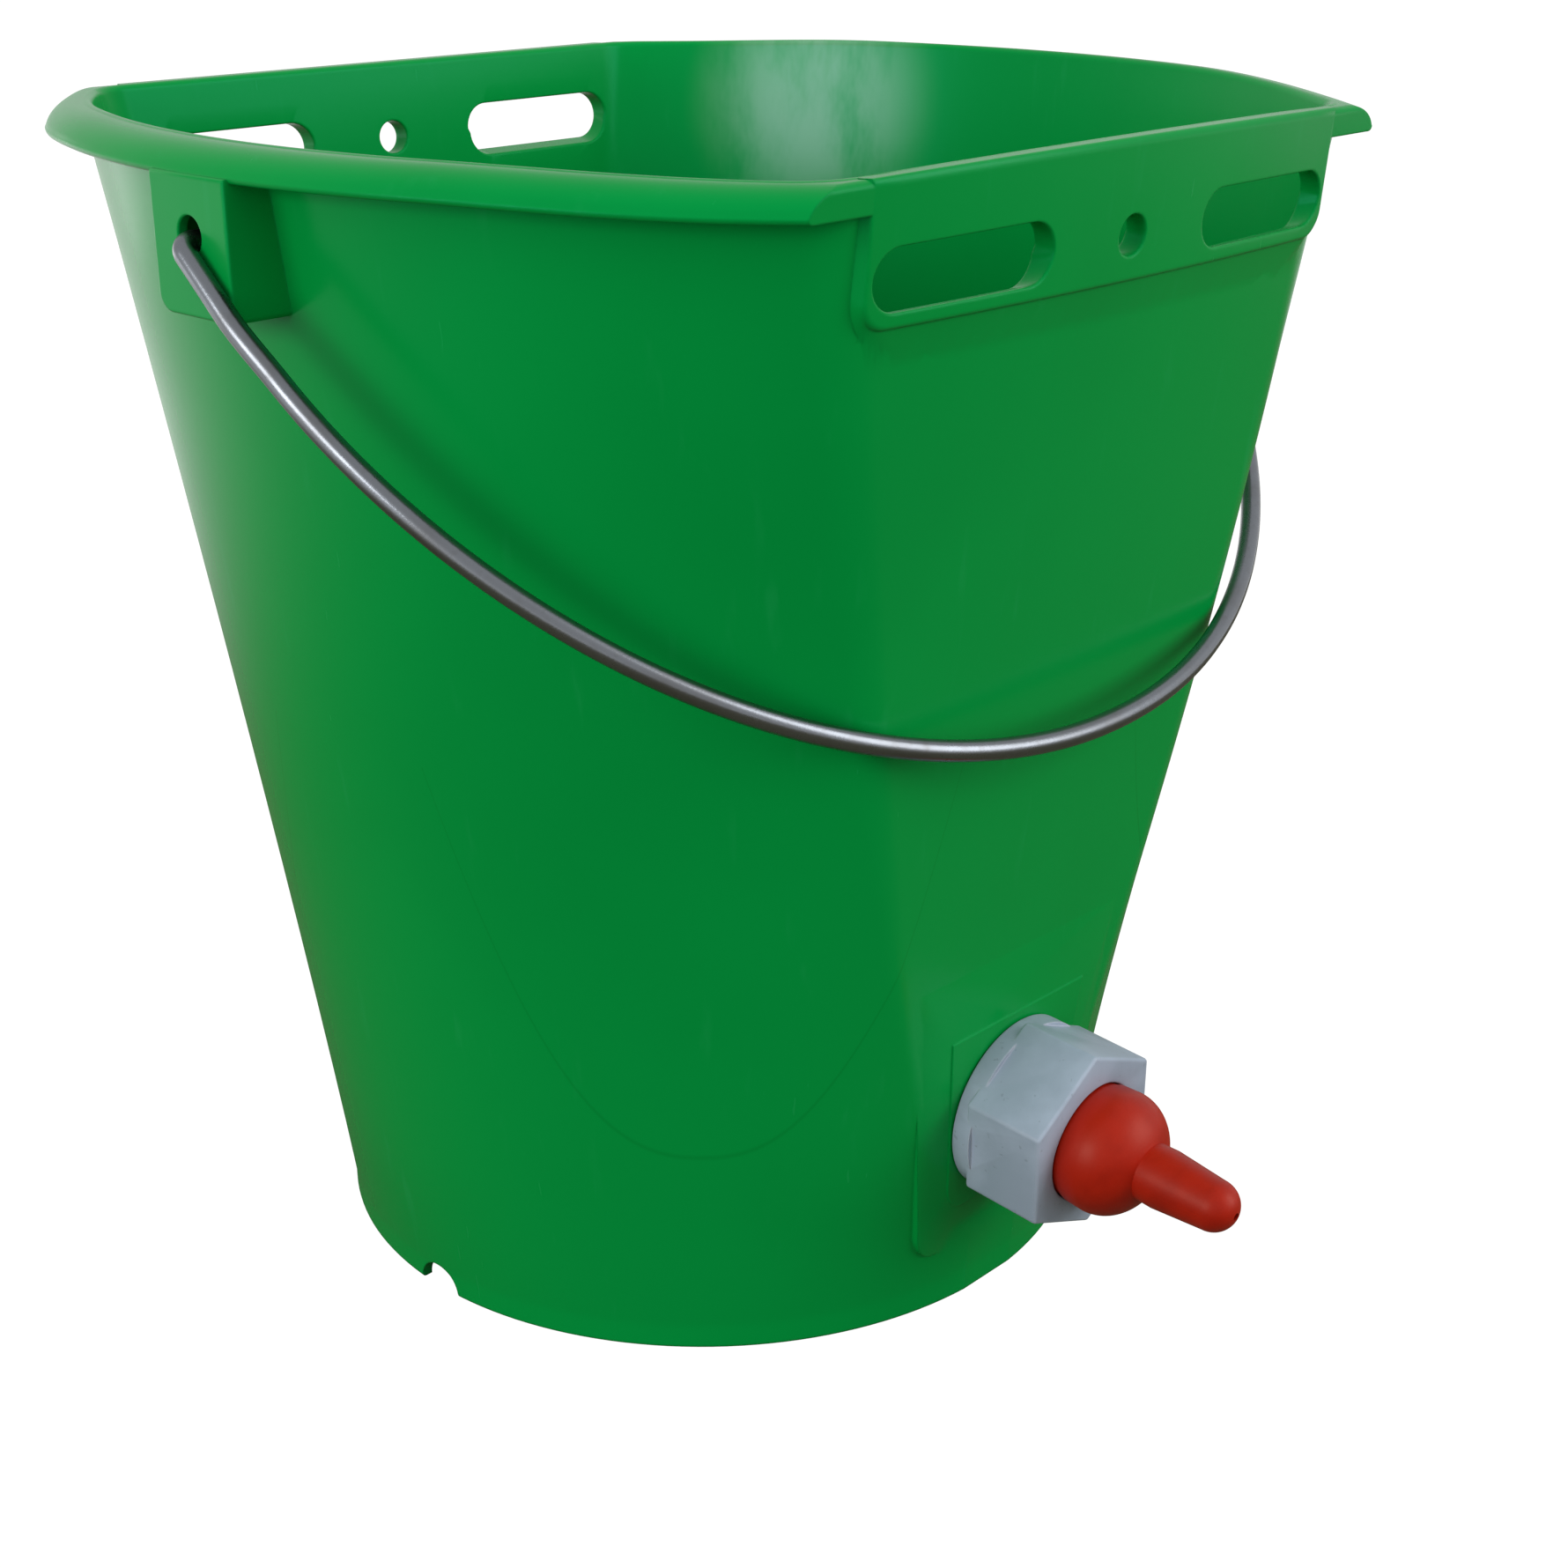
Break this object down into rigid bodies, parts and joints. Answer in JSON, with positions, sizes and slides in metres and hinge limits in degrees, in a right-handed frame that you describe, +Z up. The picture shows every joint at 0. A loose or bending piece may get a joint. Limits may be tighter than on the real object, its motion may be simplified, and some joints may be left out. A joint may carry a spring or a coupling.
{
  "type": "teat feeding bucket",
  "caption": "Tapered moulded bucket with two flat hanging sides, a down-turned lip, wire bail, and a ball valve with hexagonal nut and rubber teat low on one flat side.",
  "frame": {"origin": "bottom centre of the bounding box, on the plane the bucket's foot stands on; the bucket's own axis is 21.8 mm behind it, at +Y", "axes": "+Z up along the bucket's axis, the teat points along -Y, the two bail ears are on the X axis"},
  "size_m": [0.2932, 0.287, 0.28],
  "materials": {
    "green_shell": "smooth moulded polypropylene, semi-gloss",
    "plated_wire": "bright zinc-plated round steel wire",
    "grey_nut": "moulded grey plastic, satin",
    "red_rubber": "smooth red natural rubber",
    "white_plastic": "moulded off-white plastic, satin",
    "black_rubber": "matt black rubber"
  },
  "bodies": {
    "bucket": {"bucket_shell": "green_shell", "valve_body": "white_plastic", "ball_retainer": "white_plastic", "inner_gasket": "black_rubber"},
    "bail": {"bail_handle": "plated_wire"},
    "teat": {"teat": "red_rubber"},
    "nut": {"union_nut": "grey_nut"},
    "ball": {"valve_ball": "white_plastic"}
  },
  "joints": [
    {"name": "bail_swing", "type": "hinge", "parent": "bucket", "child": "bail", "pos_m": [0, 0.02182, 0.2615], "axis": [-1, 0, 0], "range_deg": [0, 262]},
    {"name": "teat_draw", "type": "slide", "parent": "bucket", "child": "teat", "axis": [0, -0.996, -0.0896], "range_m": [0, 0.0185]},
    {"name": "nut_turn", "type": "hinge", "parent": "teat", "child": "nut", "pos_m": [0, -0.0788, 0.0524], "axis": [0, -0.996, -0.0896], "range_deg": [0, 2085]},
    {"name": "ball_float", "type": "slide", "parent": "bucket", "child": "ball", "axis": [0, -0.996, -0.0896], "range_m": [-0.004, 0]}
  ],
  "couplings": [
    {"joint": "nut_turn", "follows": "teat_draw", "rad_per_m": 1963.5}
  ]
}
